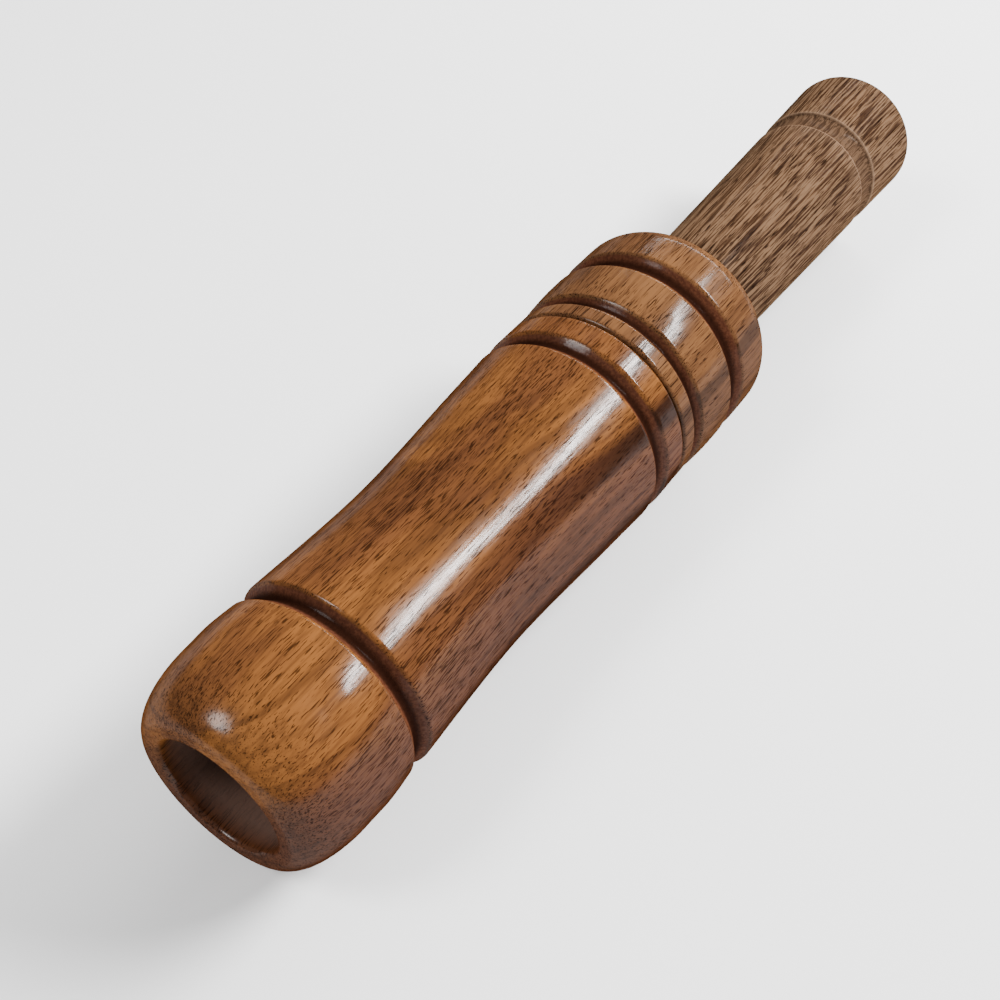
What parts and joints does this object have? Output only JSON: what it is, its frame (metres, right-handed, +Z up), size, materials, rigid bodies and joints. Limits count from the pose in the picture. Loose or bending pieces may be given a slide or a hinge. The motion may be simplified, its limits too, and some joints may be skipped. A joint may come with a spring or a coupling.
{
  "type": "duck call",
  "caption": "Turned wooden duck call: a flared barrel with a lanyard groove and mouth bore, and a beaded insert carrying a double-reed tone board.",
  "frame": {"origin": "under the middle of the call's length, on the surface that it lies on", "axes": "+X along the call from the mouth to the stem end, +Z up"},
  "size_m": [0.15, 0.0288, 0.0289],
  "materials": {
    "barrel_wood": "gloss lacquered walnut",
    "insert_wood": "satin lacquered walnut",
    "tone_board": "semi-gloss black plastic",
    "reed": "translucent plastic film",
    "cork": "raw cork",
    "rubber": "matt black rubber"
  },
  "bodies": {
    "barrel": {"barrel": "barrel_wood"},
    "seal_rings": {"front_o_ring": "rubber", "rear_o_ring": "rubber"},
    "insert": {"insert": "insert_wood", "tone_board": "tone_board", "wedge": "cork"},
    "reeds": {"long_reed": "reed", "short_reed": "reed"}
  },
  "joints": [
    {"name": "insert_pull", "type": "slide", "parent": "barrel", "child": "seal_rings", "axis": [1, 0, 0], "range_m": [0, 0.062]},
    {"name": "insert_twist", "type": "hinge", "parent": "seal_rings", "child": "insert", "pos_m": [0, 0, 0.01444], "axis": [1, 0, 0], "continuous": true},
    {"name": "reed_flex", "type": "hinge", "parent": "insert", "child": "reeds", "pos_m": [-0.0161, 0, 0.01564], "axis": [0, -1, 0], "range_deg": [0, 0.9], "stiffness_Nm_per_rad": 0.02}
  ]
}
